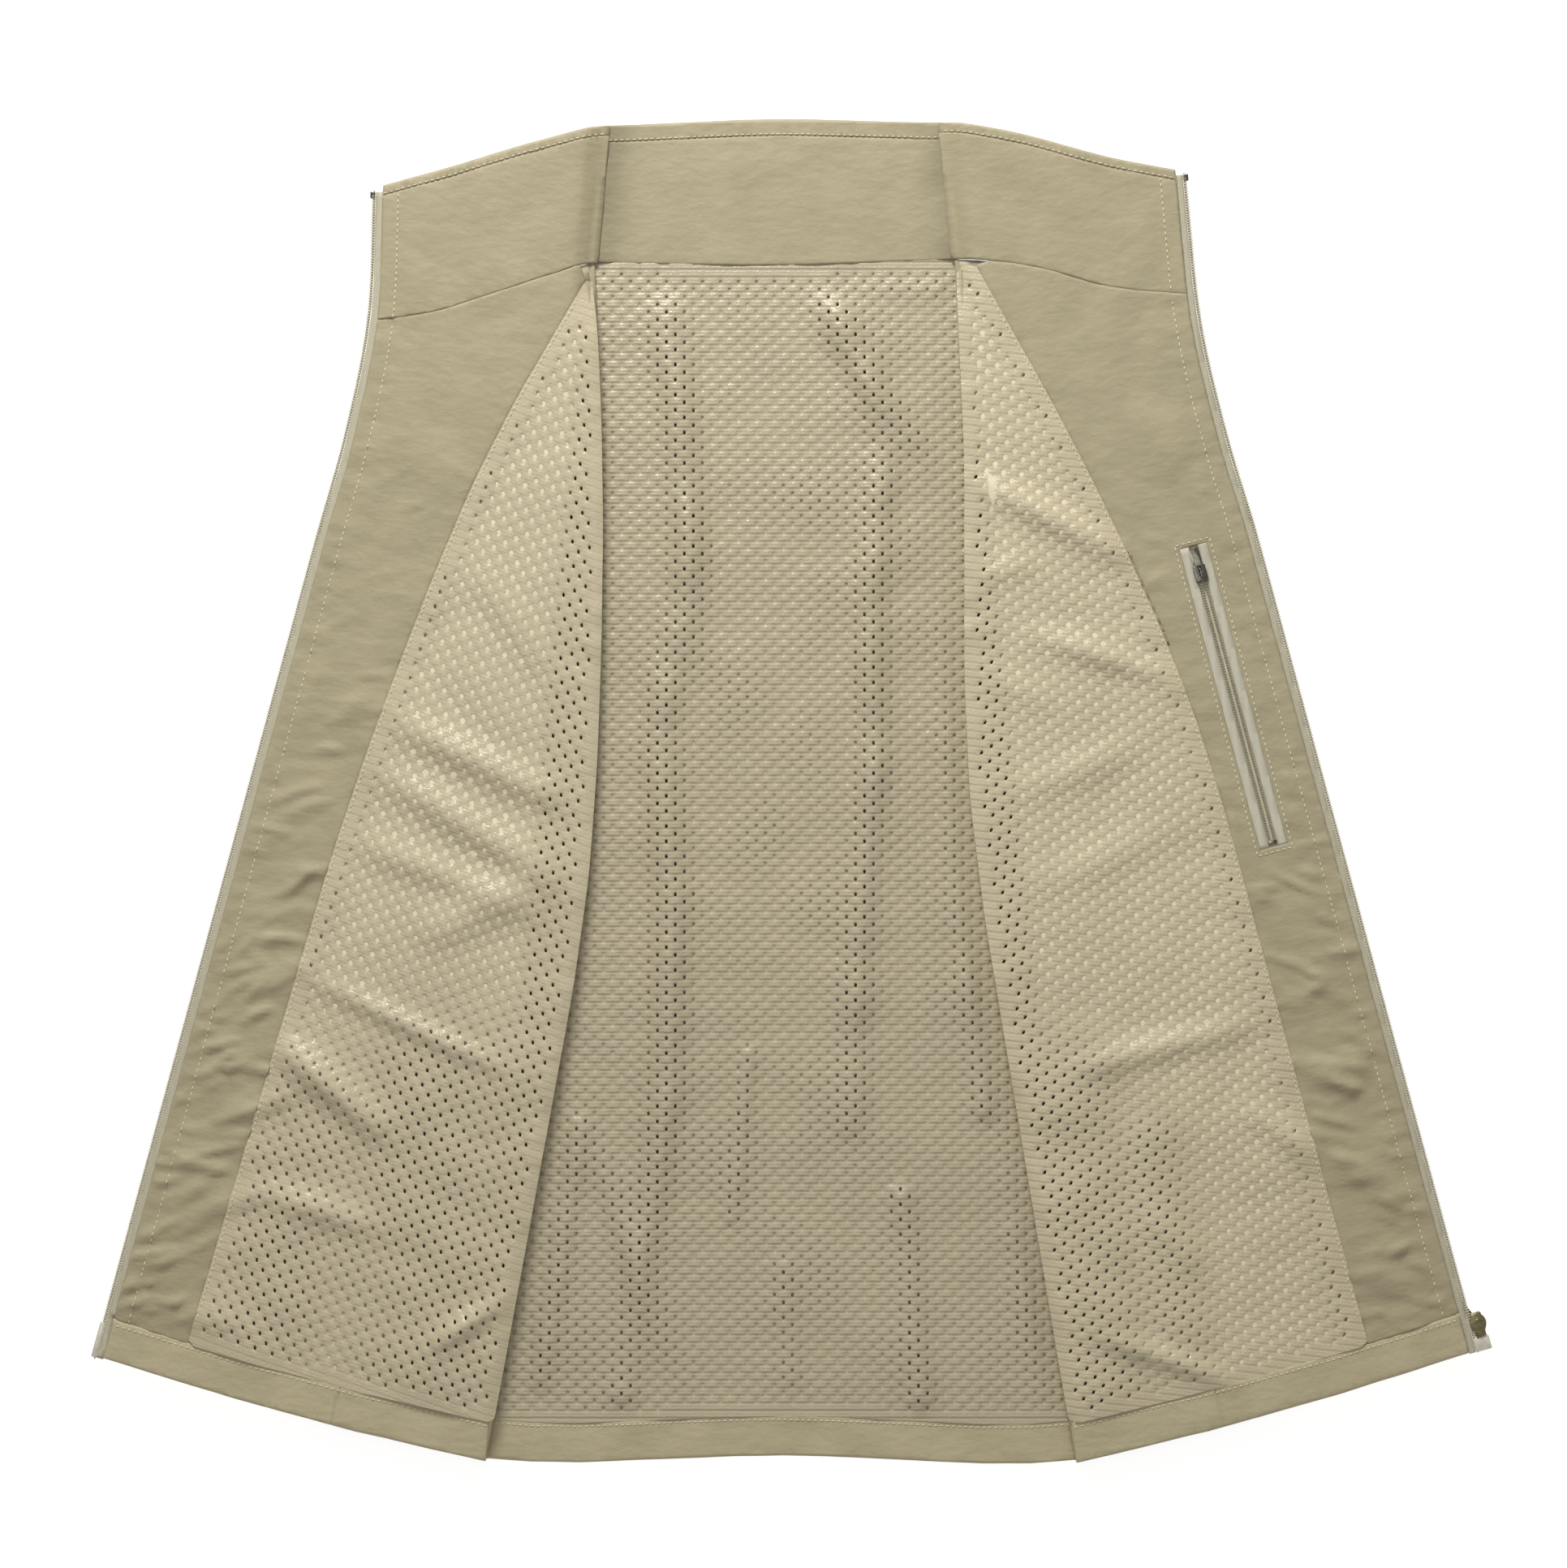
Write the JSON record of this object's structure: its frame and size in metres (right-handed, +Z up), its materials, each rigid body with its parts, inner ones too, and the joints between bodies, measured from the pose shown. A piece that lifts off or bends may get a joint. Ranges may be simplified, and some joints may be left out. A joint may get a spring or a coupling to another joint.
{
  "type": "fishing vest",
  "caption": "Zip-front fishing vest with stand collar and mesh lining, laid on its back with both fronts folded open to show the inside.",
  "frame": {"origin": "on the outside face of the back panel, which lies on the floor, near the middle of the laid-out vest", "axes": "+Z up from the floor, +Y from hem to collar, +X to the right as seen from above, towards the front with the inside pocket, which is the wearer's left; node names use left and right as seen from above"},
  "size_m": [0.7768, 0.7467, 0.0145],
  "materials": {
    "shell_cloth": "smooth khaki nylon, slight sheen",
    "facing_cloth": "smooth khaki nylon, slight sheen, light topstitching",
    "mesh_lining": "satin eyelet-knit mesh",
    "zip_tape": "woven polyester tape",
    "zip_coil": "nylon coil",
    "pocket_tape": "woven polyester tape, light grey",
    "pocket_coil": "nylon coil",
    "pocketing": "plain khaki nylon",
    "zip_fitting": "moulded, satin",
    "slider_bronze": "olive bronze paint, worn at the edges",
    "slider_nickel": "dark nickel plate"
  },
  "bodies": {
    "back": {"back_shell": "shell_cloth", "back_lining": "mesh_lining", "back_hem": "shell_cloth", "back_collar_stand": "shell_cloth", "back_collar_facing": "facing_cloth", "back_collar_rim": "facing_cloth", "left_side_lining": "mesh_lining", "left_side_shell": "shell_cloth", "left_side_hem": "shell_cloth", "left_back_armhole_binding": "shell_cloth", "left_side_armhole_binding": "shell_cloth", "left_fold_roll": "shell_cloth", "left_cargo_pocket": "shell_cloth", "left_cargo_flap": "shell_cloth", "right_side_lining": "mesh_lining", "right_side_shell": "shell_cloth", "right_side_hem": "shell_cloth", "right_back_armhole_binding": "shell_cloth", "right_side_armhole_binding": "shell_cloth", "right_fold_roll": "shell_cloth", "right_cargo_pocket": "shell_cloth", "right_cargo_flap": "shell_cloth"},
    "left_front": {"left_front_shell": "shell_cloth", "left_facing": "facing_cloth", "left_front_lining": "mesh_lining", "left_front_hem": "shell_cloth", "left_collar_stand": "shell_cloth", "left_collar_facing": "facing_cloth", "left_collar_rim": "facing_cloth", "left_zip_tape": "zip_tape", "left_zip_teeth": "zip_coil", "left_zip_top_stop": "zip_fitting", "left_zip_pin": "zip_fitting"},
    "right_front": {"right_front_shell": "shell_cloth", "right_facing": "facing_cloth", "right_front_lining": "mesh_lining", "right_front_hem": "shell_cloth", "right_collar_stand": "shell_cloth", "right_collar_facing": "facing_cloth", "right_collar_rim": "facing_cloth", "right_zip_tape": "zip_tape", "right_zip_teeth": "zip_coil", "right_zip_top_stop": "zip_fitting", "right_zip_box": "zip_fitting", "pocket_tape_inner": "pocket_tape", "pocket_tape_outer": "pocket_tape", "pocket_teeth_inner": "pocket_coil", "pocket_teeth_outer": "pocket_coil", "pocket_top_stop": "slider_nickel", "pocket_foot_stop": "slider_nickel", "pocket_bag": "pocketing"},
    "front_slider": {"front_slider": "slider_bronze"},
    "front_pull": {"front_pull": "slider_bronze"},
    "pocket_slider": {"pocket_slider": "slider_nickel"},
    "pocket_pull": {"pocket_pull": "slider_nickel"}
  },
  "joints": [
    {"name": "left_front_fold", "type": "hinge", "parent": "back", "child": "left_front", "pos_m": [-0.1053, 0.2898, 0.0122], "axis": [0.0891, 0.996, 0], "range_deg": [0, 134]},
    {"name": "right_front_fold", "type": "hinge", "parent": "back", "child": "right_front", "pos_m": [0.0954, 0.2916, 0.0122], "axis": [0.0994, -0.9951, 0], "range_deg": [0, 134]},
    {"name": "front_zip_slide", "type": "slide", "parent": "right_front", "child": "front_slider", "axis": [-0.2623, 0.965, 0.0029], "range_m": [0, 0.455]},
    {"name": "front_pull_swing", "type": "hinge", "parent": "front_slider", "child": "front_pull", "pos_m": [0.3851, -0.29962, 0.00359], "axis": [-0.9648, -0.2623, 0.0172], "range_deg": [0, 170]},
    {"name": "pocket_zip_slide", "type": "slide", "parent": "right_front", "child": "pocket_slider", "axis": [0.2597, -0.9657, -0.0028], "range_m": [0, 0.148]},
    {"name": "pocket_pull_swing", "type": "hinge", "parent": "pocket_slider", "child": "pocket_pull", "pos_m": [0.23088, 0.11661, 0.01255], "axis": [0.9655, 0.2597, -0.0172], "range_deg": [0, 170]}
  ]
}
